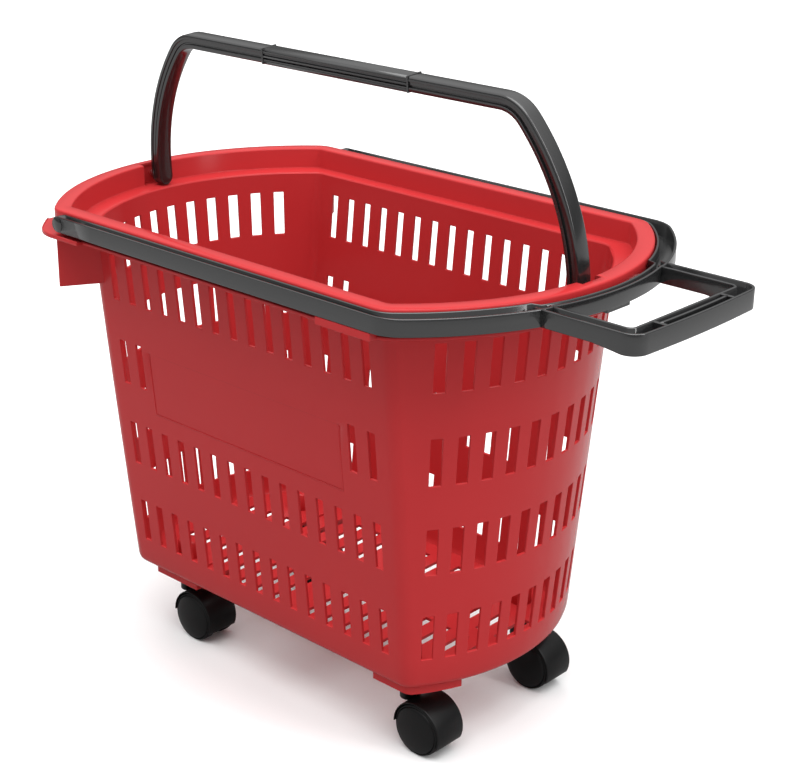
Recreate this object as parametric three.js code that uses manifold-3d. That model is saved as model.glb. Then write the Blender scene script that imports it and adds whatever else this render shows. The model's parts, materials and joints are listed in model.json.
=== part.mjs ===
// Rolling shopping basket: a slotted plastic basket on four twin-wheel swivel casters, with a
// folding carry handle across the mouth and a long pull handle hinged round the rim.
// Millimetres, +Z up, origin on the ground under the middle of the basket, +X to the pull grip.
import * as THREE from "three";
import { mergeVertices } from "three/addons/utils/BufferGeometryUtils.js";
import Module from "manifold-3d";

const wasm = await Module();
wasm.setup();

// ---------------------------------------------------------------- driving dimensions
const WALL = 3;
const FLOOR_Z = 74;
const EDGE_Z = 81;
const ROW_Z = [103.5, 186, 268.3, 350.5];
const SLOT_HEIGHT = 42.5;
const SLOT_WIDTH = 8;
const SIDE_COLUMNS = 15;
const SIDE_PITCH = 22;
const LABEL_ROW = 2;
const LABEL_HALF_COLUMNS = 5;
const END_COLUMNS = 11;
const END_SLOT_WIDTH = 10;
const END_PITCH = 23.35;
const END_PITCH_DRAFT = 0.01;

// The drafted wall, as the size of its outline at WALL_REF_Z and its change for each mm of height.
const WALL_REF_Z = 350.5;
const WALL_REF = { halfLength: 238.1, halfWidth: 138.2, bowRadius: 189.8, corner: 18 };
const DRAFT = { halfLength: 0.091, halfWidth: 0.095, bowRadius: 0.02, corner: 0 };

const LEDGE_Z = 412.5;
const RIM_TOP = 432.3;
const RIM = { halfLength: 274.7, halfWidth: 169.7, bowRadius: 223, corner: 23.2 };
const LIP_WIDTH = 15.5;
const SKIRT = { thickness: 2.5, bottom: 419 };
const FLANGE_GROW = 5.5;
const LUG = { grow: 12, from: -230, to: -148, halfWidth: 200 };
const HINGE_BOSS = { radius: 6.5, from: 156.2 };
const FIN = { outerX: -190, outerY: 173, innerX: -168, innerY: 135, height: 50 };

const FLOOR_SLOTS = { count: 8, pitch: 22, from: 8, to: 88, shortTo: 50, shortFrom: 6 };

const CASTER = { frontX: 148, rearX: -142, y: 76, trail: 22, wheelRadius: 24, axleZ: 24 };
const BLOCK = { bottom: 65.5, front: [131, 200], rear: [-155, -98], innerY: 62, outerY: 142, inset: 7 };
const SOCKET = { radius: 10, bore: 5.8, top: 95, boreTop: 91 };
const HOOD = { outer: 26, inner: 24.75, clear: 24.5, halfWidth: 17, web: 5.7, lowAngle: -24, steps: 14 };
const HOOD_ARM = { reach: 12, bottom: 30, top: 52 };
const HOOD_BOSS = { radius: 8.8, bottom: 42, top: 62.3, boreBottom: 45.7 };
const WHEEL = { inner: 6, outer: 16.8, bevel: 1.6, recess: 13, recessRadius: 20.6, segments: 22 };
const AXLE_RADIUS = 3;
const BORE_RADIUS = 3.3;

const CARRY = { halfLength: 257.5, halfWidth: 147.2, bowRadius: 208, corner: 38 };
const CARRY_BAR = { width: 13, halfDepth: 8.2 };
const CARRY_BORE = { from: 247, to: 262 };
const CARRY_PIN = { from: 247.4, to: 271.6 };
const CARRY_PIVOT_Z = 421.8;
const CARRY_LEAN = 5;
const POCKET = { front: [-16, 9.5], rear: [-16, 16], depth: 11, back: 266, blockBack: 273, blockHalf: 14 };
const GRIP = { halfLength: 85, proud: 0.8, coreWidth: 8, coreHalfDepth: 6.2, gap: 0.3, bevel: 2.2 };

const PULL = { halfLength: 292.7, halfWidth: 181.5, bowRadius: 241, corner: 35 };
const PULL_Z = { bottom: 416.5, top: 430.8, gripBottom: 412 };
const PULL_GAP = 1.2;
const PULL_HINGE_X = -177;
const PULL_BORE = { from: 157.5, to: 179 };
const PULL_PIN = { from: 157.8, to: 178.7 };
const PULL_CROSS = { halfWidth: 73, grow: 8, thickness: 8.3 };
const LOOP = { end: 367, halfWidth: 83, openEnd: 350, openHalfWidth: 69.5, corner: 14, openCorner: 5 };
const CHANNEL = { wall: 2.4, floor: 419, start: -163, loopStart: 296 };
const TAB = { from: 283, to: 290, halfWidth: 15 };
const CLIP = { x: 167.5, halfLength: 28.5 };

// ---------------------------------------------------------------- solids
function solid(geometry) {
  const bare = geometry.clone();
  bare.deleteAttribute("normal");
  bare.deleteAttribute("uv");
  const merged = mergeVertices(bare, 1e-4);
  const vertProperties = new Float32Array(merged.attributes.position.array);
  const triVerts = new Uint32Array(merged.index.array);
  return new wasm.Manifold(new wasm.Mesh({ numProp: 3, vertProperties, triVerts }));
}

function geometryOf(manifold) {
  const mesh = manifold.getMesh();
  const geometry = new THREE.BufferGeometry();
  geometry.setAttribute("position", new THREE.BufferAttribute(new Float32Array(mesh.vertProperties), 3));
  geometry.setIndex(new THREE.BufferAttribute(new Uint32Array(mesh.triVerts), 1));
  geometry.computeVertexNormals();
  return geometry;
}

function block(x0, x1, y0, y1, z0, z1) {
  const geometry = new THREE.BoxGeometry(x1 - x0, y1 - y0, z1 - z0);
  geometry.translate((x0 + x1) / 2, (y0 + y1) / 2, (z0 + z1) / 2);
  return solid(geometry);
}

// A cylinder along one axis, from `from` to `to` on that axis; `centre` gives the other two places.
function rod(axis, radius, centre, from, to, segments = 16) {
  const geometry = new THREE.CylinderGeometry(radius, radius, to - from, segments);
  if (axis === "x") geometry.rotateZ(-Math.PI / 2);
  if (axis === "z") geometry.rotateX(Math.PI / 2);
  const place = new THREE.Vector3(...centre);
  place[axis] = (from + to) / 2;
  geometry.translate(place.x, place.y, place.z);
  return solid(geometry);
}

// A body of revolution about the Z axis from closed [radius, height] points.
function turned(profile, segments) {
  const points = profile.map(([radius, height]) => new THREE.Vector2(radius, height));
  const geometry = new THREE.LatheGeometry(points, segments);
  geometry.rotateX(Math.PI / 2);
  return solid(geometry);
}

function prism(points, z0, z1) {
  const shape = new THREE.Shape(points);
  const geometry = new THREE.ExtrudeGeometry(shape, { depth: z1 - z0, bevelEnabled: false, steps: 1 });
  geometry.translate(0, 0, z0);
  return solid(geometry);
}

// ---------------------------------------------------------------- plan outlines
// One quarter of a bowed outline: from the middle of the +X bow round the corner to the +Y side.
function quarter(plan, grow = 0, bowSteps = 7, cornerSteps = 3) {
  const bow = plan.bowRadius + grow;
  const corner = Math.max(plan.corner + grow, 0.5);
  const centreX = plan.halfLength + grow - bow;
  const cornerY = plan.halfWidth + grow - corner;
  const cornerX = centreX + Math.sqrt((bow - corner) ** 2 - cornerY ** 2);
  const turn = Math.atan2(cornerY, cornerX - centreX);
  const points = [];
  for (let i = 0; i <= bowSteps; i += 1) {
    const angle = (turn * i) / bowSteps;
    points.push(new THREE.Vector2(centreX + bow * Math.cos(angle), bow * Math.sin(angle)));
  }
  for (let i = 1; i <= cornerSteps; i += 1) {
    const angle = turn + ((Math.PI / 2 - turn) * i) / cornerSteps;
    points.push(new THREE.Vector2(cornerX + corner * Math.cos(angle), cornerY + corner * Math.sin(angle)));
  }
  return points;
}

function half(plan, grow = 0) {
  const right = quarter(plan, grow);
  const left = right.map((p) => new THREE.Vector2(-p.x, p.y)).reverse();
  return [...right, ...left];
}

function outline(plan, grow = 0) {
  const upper = half(plan, grow);
  const lower = upper.slice(1, -1).map((p) => new THREE.Vector2(p.x, -p.y)).reverse();
  return [...upper, ...lower];
}

// A closed body between outlines of the same number of points at rising heights.
function loft(sections) {
  const count = sections[0].points.length;
  const positions = [];
  const index = [];
  for (const { points, z } of sections) {
    for (const p of points) positions.push(p.x, p.y, z);
  }
  for (let level = 0; level + 1 < sections.length; level += 1) {
    for (let i = 0; i < count; i += 1) {
      const a = level * count + i;
      const b = level * count + ((i + 1) % count);
      index.push(a, b, b + count, a, b + count, a + count);
    }
  }
  const bottom = positions.length / 3;
  positions.push(0, 0, sections[0].z);
  positions.push(0, 0, sections.at(-1).z);
  const lastRing = (sections.length - 1) * count;
  for (let i = 0; i < count; i += 1) {
    const next = (i + 1) % count;
    index.push(bottom, next, i);
    index.push(bottom + 1, lastRing + i, lastRing + next);
  }
  const geometry = new THREE.BufferGeometry();
  geometry.setAttribute("position", new THREE.Float32BufferAttribute(positions, 3));
  geometry.setIndex(index);
  return solid(geometry);
}

function wallPlan(z) {
  const plan = {};
  for (const key of Object.keys(WALL_REF)) plan[key] = WALL_REF[key] - DRAFT[key] * (WALL_REF_Z - z);
  return plan;
}

const wallSection = (z, grow) => ({ z, points: outline(wallPlan(z), grow) });

// A band round the rim outline, between two growths of it.
function rimBand(outerGrow, innerGrow, z0, z1) {
  return prism(outline(RIM, outerGrow), z0, z1).subtract(prism(outline(RIM, innerGrow), z0 - 1, z1 + 1));
}

// ---------------------------------------------------------------- basket body
function slotCutters() {
  const cutters = [];
  const sideMiddle = (SIDE_COLUMNS - 1) / 2;
  const endMiddle = (END_COLUMNS - 1) / 2;
  ROW_Z.forEach((z, row) => {
    for (let column = 0; column < SIDE_COLUMNS; column += 1) {
      const onLabel = row === LABEL_ROW && Math.abs(column - sideMiddle) <= LABEL_HALF_COLUMNS;
      if (onLabel) continue;
      const x = (column - sideMiddle) * SIDE_PITCH;
      cutters.push(block(x - SLOT_WIDTH / 2, x + SLOT_WIDTH / 2, -160, 160, z, z + SLOT_HEIGHT));
    }
    const middleZ = z + SLOT_HEIGHT / 2;
    const plan = wallPlan(middleZ);
    const pitchAngle = (END_PITCH - END_PITCH_DRAFT * (WALL_REF_Z - middleZ)) / plan.bowRadius;
    const bowCentre = plan.halfLength - plan.bowRadius;
    for (let column = 0; column < END_COLUMNS; column += 1) {
      const angle = (column - endMiddle) * pitchAngle;
      for (const side of [0, Math.PI]) {
        const cutter = new THREE.BoxGeometry(30, END_SLOT_WIDTH, SLOT_HEIGHT);
        cutter.translate(plan.bowRadius, 0, z + SLOT_HEIGHT / 2);
        cutter.rotateZ(angle);
        cutter.translate(bowCentre, 0, 0);
        cutter.rotateZ(side);
        cutters.push(solid(cutter));
      }
    }
  });
  return wasm.Manifold.union(cutters);
}

function floorCutters() {
  const cutters = [];
  for (let k = 1; k <= FLOOR_SLOTS.count; k += 1) {
    const reach = k >= FLOOR_SLOTS.shortFrom ? FLOOR_SLOTS.shortTo : FLOOR_SLOTS.to;
    for (const x of [-k * FLOOR_SLOTS.pitch, k * FLOOR_SLOTS.pitch]) {
      const x0 = x - SLOT_WIDTH / 2;
      const x1 = x + SLOT_WIDTH / 2;
      cutters.push(block(x0, x1, FLOOR_SLOTS.from, reach, FLOOR_Z - 2, FLOOR_Z + WALL + 2));
      cutters.push(block(x0, x1, -reach, -FLOOR_SLOTS.from, FLOOR_Z - 2, FLOOR_Z + WALL + 2));
    }
  }
  return wasm.Manifold.union(cutters);
}

// The four casters: name, place of the stem, and the stretch of the block above it.
function casterPlaces() {
  const places = [];
  for (const [end, x, xs] of [["front", CASTER.frontX, BLOCK.front], ["rear", CASTER.rearX, BLOCK.rear]]) {
    places.push({ name: `${end}_left`, x, y: CASTER.y, xs });
    places.push({ name: `${end}_right`, x, y: -CASTER.y, xs });
  }
  return places;
}

function cornerBlocks() {
  const footprint = outline(wallPlan(FLOOR_Z), -BLOCK.inset);
  const plinth = prism(footprint, BLOCK.bottom, FLOOR_Z + 1);
  const parts = [];
  for (const { x, y, xs } of casterPlaces()) {
    const ys = y > 0 ? [BLOCK.innerY, BLOCK.outerY] : [-BLOCK.outerY, -BLOCK.innerY];
    const cut = block(...xs, ...ys, BLOCK.bottom - 1, EDGE_Z);
    parts.push(plinth.intersect(cut));
    parts.push(rod("z", SOCKET.radius, [x, y, 0], BLOCK.bottom, SOCKET.top));
  }
  return wasm.Manifold.union(parts);
}

function rimParts() {
  const lip = rimBand(0, -LIP_WIDTH, RIM_TOP - WALL, RIM_TOP);
  const upstand = rimBand(WALL - LIP_WIDTH, -LIP_WIDTH, LEDGE_Z - 1, RIM_TOP - 1);
  const skirt = rimBand(0, -SKIRT.thickness, SKIRT.bottom, RIM_TOP - 1);
  const flange = prism(outline(RIM, FLANGE_GROW), LEDGE_Z - WALL, LEDGE_Z);
  const parts = [lip, upstand, skirt, flange];
  const lugs = prism(outline(RIM, LUG.grow), LEDGE_Z - WALL, LEDGE_Z);
  for (const side of [-1, 1]) {
    const lugY = side > 0 ? [RIM.halfWidth - 30, LUG.halfWidth] : [-LUG.halfWidth, 30 - RIM.halfWidth];
    parts.push(lugs.intersect(block(LUG.from, LUG.to, ...lugY, LEDGE_Z - 10, LEDGE_Z + 10)));
    const clipX = [CLIP.x - CLIP.halfLength, CLIP.x + CLIP.halfLength];
    const clipY = side > 0 ? [RIM.halfWidth - 8, PULL.halfWidth] : [-PULL.halfWidth, 8 - RIM.halfWidth];
    parts.push(block(...clipX, ...clipY, LEDGE_Z - WALL, PULL_Z.bottom - 0.3));
    parts.push(cornerFin(side));
    parts.push(pullHinge(side, HINGE_BOSS.radius, HINGE_BOSS.from, RIM.halfWidth));
    parts.push(pocketBlock(side));
  }
  return wasm.Manifold.union(parts);
}

// A gusset under the flange at each corner behind the pull-handle hinge.
function cornerFin(side) {
  const outer = new THREE.Vector2(FIN.outerX, side * FIN.outerY);
  const inner = new THREE.Vector2(FIN.innerX, side * FIN.innerY);
  const middle = outer.clone().add(inner).multiplyScalar(0.5);
  const fin = new THREE.BoxGeometry(outer.distanceTo(inner), WALL, FIN.height);
  fin.rotateZ(Math.atan2(inner.y - outer.y, inner.x - outer.x));
  fin.translate(middle.x, middle.y, LEDGE_Z - FIN.height / 2);
  return solid(fin);
}

function pullHinge(side, radius, yFrom, yTo) {
  const hingeZ = (PULL_Z.bottom + PULL_Z.top) / 2;
  const [from, to] = side > 0 ? [yFrom, yTo] : [-yTo, -yFrom];
  return rod("y", radius, [PULL_HINGE_X, 0, hingeZ], from, to);
}

function pocketBlock(side) {
  const [from, to] = side > 0 ? [POCKET.back, POCKET.blockBack] : [-POCKET.blockBack, -POCKET.back];
  return block(from, to, -POCKET.blockHalf, POCKET.blockHalf, LEDGE_Z - 1, RIM_TOP - 1);
}

function carryBore(side, radius, xFrom, xTo) {
  const [from, to] = side > 0 ? [xFrom, xTo] : [-xTo, -xFrom];
  return rod("x", radius, [0, 0, CARRY_PIVOT_Z], from, to);
}

function basketBody() {
  const outer = loft([
    wallSection(FLOOR_Z, -6),
    wallSection(FLOOR_Z + 2, -2.5),
    wallSection(EDGE_Z, 0),
    wallSection(LEDGE_Z, 0),
  ]);
  const inside = loft([
    wallSection(FLOOR_Z + WALL, -8),
    wallSection(EDGE_Z + 1, -WALL),
    wallSection(LEDGE_Z + 1, -WALL),
  ]);
  const stemBore = ({ x, y }) => rod("z", SOCKET.bore, [x, y, 0], BLOCK.bottom - 2, SOCKET.boreTop);
  const stems = casterPlaces().map(stemBore);
  const cuts = [slotCutters(), floorCutters(), ...stems];
  for (const side of [-1, 1]) {
    const front = POCKET.back - POCKET.depth;
    const [x0, x1] = side > 0 ? [front, POCKET.back] : [-POCKET.back, -front];
    cuts.push(block(x0, x1, ...(side > 0 ? POCKET.front : POCKET.rear), LEDGE_Z, RIM_TOP + 1));
    cuts.push(carryBore(side, BORE_RADIUS, POCKET.back - 1, POCKET.blockBack - 1));
    cuts.push(pullHinge(side, BORE_RADIUS, PULL_BORE.from, RIM.halfWidth + 1));
  }
  const shell = outer.add(rimParts()).subtract(inside);
  return shell.add(cornerBlocks()).subtract(wasm.Manifold.union(cuts));
}

// ---------------------------------------------------------------- carry handle
// The handle is drawn flat, its length along X and its height along Y, and stood up afterwards.
function standUp(manifold) {
  const geometry = geometryOf(manifold);
  geometry.rotateX(Math.PI / 2);
  return geometry;
}

function carryHandle() {
  const outer = half(CARRY);
  const inner = half(CARRY, -CARRY_BAR.width).reverse();
  let bail = prism([...outer, ...inner], -CARRY_BAR.halfDepth, CARRY_BAR.halfDepth);
  for (const side of [-1, 1]) {
    const [from, to] = [CARRY.halfLength - CARRY_BAR.width, CARRY.halfLength].map((x) => x * side);
    const foot = rod("x", CARRY_BAR.halfDepth, [0, 0, 0], Math.min(from, to), Math.max(from, to), 24);
    const hole = [side * CARRY_BORE.from, side * CARRY_BORE.to];
    bail = bail.add(foot).subtract(rod("x", BORE_RADIUS, [0, 0, 0], Math.min(...hole), Math.max(...hole)));
  }
  const middle = CARRY.halfWidth - CARRY_BAR.width / 2;
  const whole = block(-GRIP.halfLength, GRIP.halfLength, middle - 12, middle + 12, -12, 12);
  const halfCore = GRIP.coreWidth / 2;
  const core = block(-GRIP.halfLength - 1, GRIP.halfLength + 1, middle - halfCore, middle + halfCore,
    -GRIP.coreHalfDepth, GRIP.coreHalfDepth);
  return standUp(bail.subtract(whole).add(core));
}

function gripSleeve() {
  const middle = CARRY.halfWidth - CARRY_BAR.width / 2;
  const reach = GRIP.halfLength - GRIP.gap;
  const halfWidth = CARRY_BAR.width / 2 + GRIP.proud;
  const halfDepth = CARRY_BAR.halfDepth + GRIP.proud;
  const { bevel } = GRIP;
  const section = [
    new THREE.Vector2(-halfDepth + bevel, -halfWidth),
    new THREE.Vector2(halfDepth - bevel, -halfWidth),
    new THREE.Vector2(halfDepth, -halfWidth + bevel),
    new THREE.Vector2(halfDepth, halfWidth - bevel),
    new THREE.Vector2(halfDepth - bevel, halfWidth),
    new THREE.Vector2(-halfDepth + bevel, halfWidth),
    new THREE.Vector2(-halfDepth, halfWidth - bevel),
    new THREE.Vector2(-halfDepth, -halfWidth + bevel),
  ];
  const extrusion = { depth: 2 * reach, bevelEnabled: false };
  const shape = new THREE.ExtrudeGeometry(new THREE.Shape(section), extrusion);
  shape.translate(0, 0, -reach);
  shape.rotateY(Math.PI / 2);
  shape.translate(0, middle, 0);
  const holeHalf = GRIP.coreWidth / 2 + GRIP.gap;
  const holeDepth = GRIP.coreHalfDepth + GRIP.gap;
  const hole = block(-reach - 1, reach + 1, middle - holeHalf, middle + holeHalf, -holeDepth, holeDepth);
  return standUp(solid(shape).subtract(hole));
}

// ---------------------------------------------------------------- pull handle
// A region from the bow centre of the rim out to `grow` beyond it, no wider than halfWidth.
function bowFill(grow, halfWidth, z0, z1) {
  const radius = RIM.bowRadius + grow;
  const centreX = RIM.halfLength - RIM.bowRadius;
  const reach = Math.asin(halfWidth / radius);
  const points = [new THREE.Vector2(centreX + 100, -halfWidth)];
  for (let i = 0; i <= 12; i += 1) {
    const angle = -reach + (2 * reach * i) / 12;
    points.push(new THREE.Vector2(centreX + radius * Math.cos(angle), radius * Math.sin(angle)));
  }
  points.push(new THREE.Vector2(centreX + 100, halfWidth));
  return prism(points, z0, z1);
}

// A rectangle whose two +X corners are rounded.
function tongue(xStart, xEnd, halfWidth, corner, z0, z1) {
  const points = [new THREE.Vector2(xStart, -halfWidth)];
  for (const side of [-1, 1]) {
    for (let i = 0; i <= 5; i += 1) {
      const angle = side < 0 ? -Math.PI / 2 + (Math.PI / 2) * (i / 5) : (Math.PI / 2) * (i / 5);
      const x = xEnd - corner + corner * Math.cos(angle);
      points.push(new THREE.Vector2(x, side * (halfWidth - corner) + corner * Math.sin(angle)));
    }
  }
  points.push(new THREE.Vector2(xStart, halfWidth));
  return prism(points, z0, z1);
}

function loopOpening(grow, z0, z1) {
  const width = LOOP.openHalfWidth + grow;
  const opening = tongue(200, LOOP.openEnd + grow, width, LOOP.openCorner + grow, z0, z1);
  return opening.subtract(bowFill(PULL_CROSS.grow + PULL_CROSS.thickness - grow, 120, z0 - 1, z1 + 1));
}

function pullFrame() {
  const { bottom, top, gripBottom } = PULL_Z;
  const low = bottom - 20;
  const high = top + 20;
  let frame = prism(outline(PULL), bottom, top);
  frame = frame.add(tongue(240, LOOP.end, LOOP.halfWidth, LOOP.corner, bottom, top));
  const gripFrom = LOOP.openEnd - 2;
  const gripEnd = tongue(240, LOOP.end, LOOP.halfWidth, LOOP.corner, gripBottom, bottom + 1);
  frame = frame.add(gripEnd.intersect(block(gripFrom, 400, -90, 90, low, high)));
  frame = frame.add(block(TAB.from, TAB.to, -TAB.halfWidth, TAB.halfWidth, gripBottom, bottom + 1));
  frame = frame.subtract(prism(outline(RIM, PULL_GAP), low, high));
  frame = frame.subtract(bowFill(PULL_CROSS.grow, PULL_CROSS.halfWidth, low, high));
  frame = frame.subtract(loopOpening(0, low, high));
  frame = frame.subtract(block(-400, PULL_HINGE_X, -200, 200, low, high));

  const wall = CHANNEL.wall;
  let channel = prism(outline(PULL, -wall), CHANNEL.floor, high);
  channel = channel.subtract(prism(outline(RIM, PULL_GAP + wall), low, high + 1));
  channel = channel.subtract(block(-400, CHANNEL.start, -200, 200, low, high + 1));
  channel = channel.subtract(block(200, 400, -LOOP.halfWidth - 2, LOOP.halfWidth + 2, low, high + 1));
  const loopInside = [LOOP.end - wall, LOOP.halfWidth - wall, LOOP.corner - wall];
  let loopChannel = tongue(CHANNEL.loopStart, ...loopInside, CHANNEL.floor, high);
  loopChannel = loopChannel.subtract(loopOpening(wall, low, high + 1));
  frame = frame.subtract(channel).subtract(loopChannel);

  for (const side of [-1, 1]) {
    const radius = (top - bottom) / 2;
    const inner = RIM.halfWidth + PULL_GAP;
    frame = frame.add(pullHinge(side, radius, inner, PULL.halfWidth));
    frame = frame.subtract(pullHinge(side, BORE_RADIUS, inner - 1, PULL_BORE.to));
  }
  return geometryOf(frame);
}

// ---------------------------------------------------------------- caster pieces
// Each is drawn at the caster's own frame: origin on the ground below the stem, trailing to +X.
function casterHood() {
  const { trail, axleZ } = CASTER;
  const { steps } = HOOD;
  const start = THREE.MathUtils.degToRad(HOOD.lowAngle);
  const shellPoints = [];
  for (let i = 0; i <= steps; i += 1) {
    const angle = start + ((Math.PI - start) * i) / steps;
    shellPoints.push(new THREE.Vector2(HOOD.outer * Math.cos(angle), HOOD.outer * Math.sin(angle)));
  }
  const webPoints = [...shellPoints];
  for (let i = steps; i >= 0; i -= 1) {
    const angle = start + ((Math.PI - start) * i) / steps;
    shellPoints.push(new THREE.Vector2(HOOD.inner * Math.cos(angle), HOOD.inner * Math.sin(angle)));
  }
  webPoints.push(new THREE.Vector2(-HOOD.outer, -4), new THREE.Vector2(-8, -9), new THREE.Vector2(8, -11));
  const drawn = (points, halfWidth) => {
    const shape = new THREE.Shape(points);
    const geometry = new THREE.ExtrudeGeometry(shape, { depth: 2 * halfWidth, bevelEnabled: false });
    geometry.translate(0, 0, -halfWidth);
    geometry.rotateX(Math.PI / 2);
    geometry.translate(trail, 0, axleZ);
    return solid(geometry);
  };
  const shell = drawn(shellPoints, HOOD.halfWidth);
  const web = drawn(webPoints, HOOD.web);
  const boss = rod("z", HOOD_BOSS.radius, [0, 0, 0], HOOD_BOSS.bottom, HOOD_BOSS.top);
  const arm = block(0, HOOD_ARM.reach, -HOOD.web, HOOD.web, HOOD_ARM.bottom, HOOD_ARM.top);
  let hood = shell.add(web).add(boss).add(arm);
  for (const side of [-1, 1]) {
    const [from, to] = side > 0 ? [HOOD.web, HOOD.halfWidth + 1] : [-HOOD.halfWidth - 1, -HOOD.web];
    hood = hood.subtract(rod("y", HOOD.clear, [trail, 0, axleZ], from, to, 24));
  }
  hood = hood.subtract(rod("z", SOCKET.bore, [0, 0, 0], HOOD_BOSS.boreBottom, HOOD_BOSS.top + 1));
  hood = hood.subtract(rod("y", BORE_RADIUS, [trail, 0, axleZ], -HOOD.web - 1, HOOD.web + 1));
  return geometryOf(hood);
}

function casterStem() {
  const radius = SOCKET.bore - 0.3;
  const collar = { radius: 8.5, bottom: HOOD_BOSS.top + 0.3, top: BLOCK.bottom - 0.3 };
  const tip = { bottom: HOOD_BOSS.boreBottom + 0.3, top: SOCKET.boreTop - 0.5 };
  const profile = [
    [0, tip.bottom],
    [radius, tip.bottom],
    [radius, collar.bottom],
    [collar.radius, collar.bottom],
    [collar.radius, collar.top],
    [radius, collar.top],
    [radius, tip.top - 2],
    [radius - 2, tip.top],
    [0, tip.top],
  ];
  return geometryOf(turned(profile, 16));
}

function casterWheel() {
  const rim = CASTER.wheelRadius;
  const profile = [
    [BORE_RADIUS, WHEEL.inner],
    [rim - WHEEL.bevel, WHEEL.inner],
    [rim, WHEEL.inner + WHEEL.bevel],
    [rim, WHEEL.outer - WHEEL.bevel],
    [rim - WHEEL.bevel, WHEEL.outer],
    [WHEEL.recessRadius, WHEEL.outer],
    [WHEEL.recessRadius, WHEEL.recess],
    [BORE_RADIUS, WHEEL.recess],
    [BORE_RADIUS, WHEEL.inner],
  ];
  return turned(profile, WHEEL.segments);
}

function wheelCap() {
  const edge = WHEEL.recessRadius - 0.4;
  const seat = WHEEL.recess + 0.3;
  const profile = [
    [0, seat],
    [edge, seat],
    [edge, WHEEL.outer + 0.2],
    [edge - 4, WHEEL.outer + 1.8],
    [edge - 11, WHEEL.outer + 3.2],
    [0, WHEEL.outer + 4],
  ];
  return turned(profile, WHEEL.segments);
}

// Lays a body turned about Z along the axle: its top faces +Y, or -Y when side is -1.
function onAxle(manifold, side) {
  const geometry = geometryOf(manifold);
  geometry.rotateX(side > 0 ? -Math.PI / 2 : Math.PI / 2);
  return geometry;
}

// ---------------------------------------------------------------- materials and assembly
// Everything is drawn about the middle of the basket, and moved so that the origin is on the
// ground under the middle of the whole outline, pull grip included.
const MIDDLE_X = (LOOP.end - RIM.halfLength - FLANGE_GROW) / 2;

const material = (color, roughness, metalness = 0) =>
  new THREE.MeshStandardMaterial({ color, roughness, metalness });
const redPlastic = () => material(0xb3262b, 0.35);
const greyPlastic = () => material(0x4a4c4d, 0.4);
const blackPlastic = () => material(0x17181a, 0.5);
const steel = () => material(0xa9adb0, 0.3, 1);

const trolley = new THREE.Group();
trolley.position.x = -MIDDLE_X;
const part = new THREE.Group();
part.add(trolley);

function piece(name, geometry, finish, parent = trolley) {
  const mesh = new THREE.Mesh(geometry, finish);
  mesh.name = name;
  parent.add(mesh);
  return mesh;
}

piece("basket_body", geometryOf(basketBody()), redPlastic());

const carry = new THREE.Group();
carry.position.set(0, 0, CARRY_PIVOT_Z);
carry.rotation.x = THREE.MathUtils.degToRad(CARRY_LEAN);
trolley.add(carry);
piece("carry_handle", carryHandle(), greyPlastic(), carry);
piece("carry_grip_sleeve", gripSleeve(), greyPlastic(), carry);
for (const [name, side] of [["front", 1], ["rear", -1]]) {
  const ends = [side * CARRY_PIN.from, side * CARRY_PIN.to];
  const pin = rod("x", AXLE_RADIUS, [0, 0, 0], Math.min(...ends), Math.max(...ends));
  piece(`carry_pivot_pin_${name}`, geometryOf(pin), steel(), carry);
}

piece("pull_handle_frame", pullFrame(), greyPlastic());
for (const [name, side] of [["left", 1], ["right", -1]]) {
  const pin = pullHinge(side, AXLE_RADIUS, PULL_PIN.from, PULL_PIN.to);
  piece(`pull_hinge_pin_${name}`, geometryOf(pin), steel());
}

for (const { name, x, y } of casterPlaces()) {
  const caster = new THREE.Group();
  caster.position.set(x, y, 0);
  trolley.add(caster);
  piece(`caster_stem_${name}`, casterStem(), steel(), caster);
  piece(`caster_hood_${name}`, casterHood(), blackPlastic(), caster);
  const axleReach = WHEEL.recess - 0.3;
  const axle = rod("y", AXLE_RADIUS, [CASTER.trail, 0, CASTER.axleZ], -axleReach, axleReach);
  piece(`caster_axle_${name}`, geometryOf(axle), steel(), caster);
  for (const [place, side] of [["left", 1], ["right", -1]]) {
    const wheel = piece(`wheel_${name}_${place}`, onAxle(casterWheel(), side), blackPlastic(), caster);
    const cap = piece(`wheel_cap_${name}_${place}`, onAxle(wheelCap(), side), blackPlastic(), caster);
    wheel.position.set(CASTER.trail, 0, CASTER.axleZ);
    cap.position.set(CASTER.trail, 0, CASTER.axleZ);
  }
}

part.updateMatrixWorld(true);

export default part;
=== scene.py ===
"""A rolling shopping basket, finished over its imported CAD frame.

Shapes are drawn in millimetres about the middle of the basket, with the ground at z = 0 and +X
towards the pull grip, and put into the frame by `placed`.
"""
import json
import math

import bmesh
import bpy
from mathutils import Matrix, Vector


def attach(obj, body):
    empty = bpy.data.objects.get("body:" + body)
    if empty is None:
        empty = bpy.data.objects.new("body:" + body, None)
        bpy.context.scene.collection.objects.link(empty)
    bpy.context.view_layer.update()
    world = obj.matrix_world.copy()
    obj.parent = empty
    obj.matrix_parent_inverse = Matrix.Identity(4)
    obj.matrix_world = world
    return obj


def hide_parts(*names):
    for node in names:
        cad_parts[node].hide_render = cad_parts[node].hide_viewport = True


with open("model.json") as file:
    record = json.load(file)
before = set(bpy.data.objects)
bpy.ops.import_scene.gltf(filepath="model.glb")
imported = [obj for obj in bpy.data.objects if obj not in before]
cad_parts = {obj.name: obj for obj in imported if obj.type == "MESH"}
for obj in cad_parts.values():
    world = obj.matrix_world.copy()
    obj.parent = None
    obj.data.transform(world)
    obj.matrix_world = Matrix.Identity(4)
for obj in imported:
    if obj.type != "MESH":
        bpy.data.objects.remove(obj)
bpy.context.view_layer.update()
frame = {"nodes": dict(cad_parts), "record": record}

MM = 0.001
JOINTS = {joint["name"]: joint for joint in frame["record"]["behaviour"]["joints"]}
CARRY_PIVOT = Vector(JOINTS["carry_handle_fold"]["pos_m"])
MIDDLE = Vector((CARRY_PIVOT.x, 0, 0))

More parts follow.
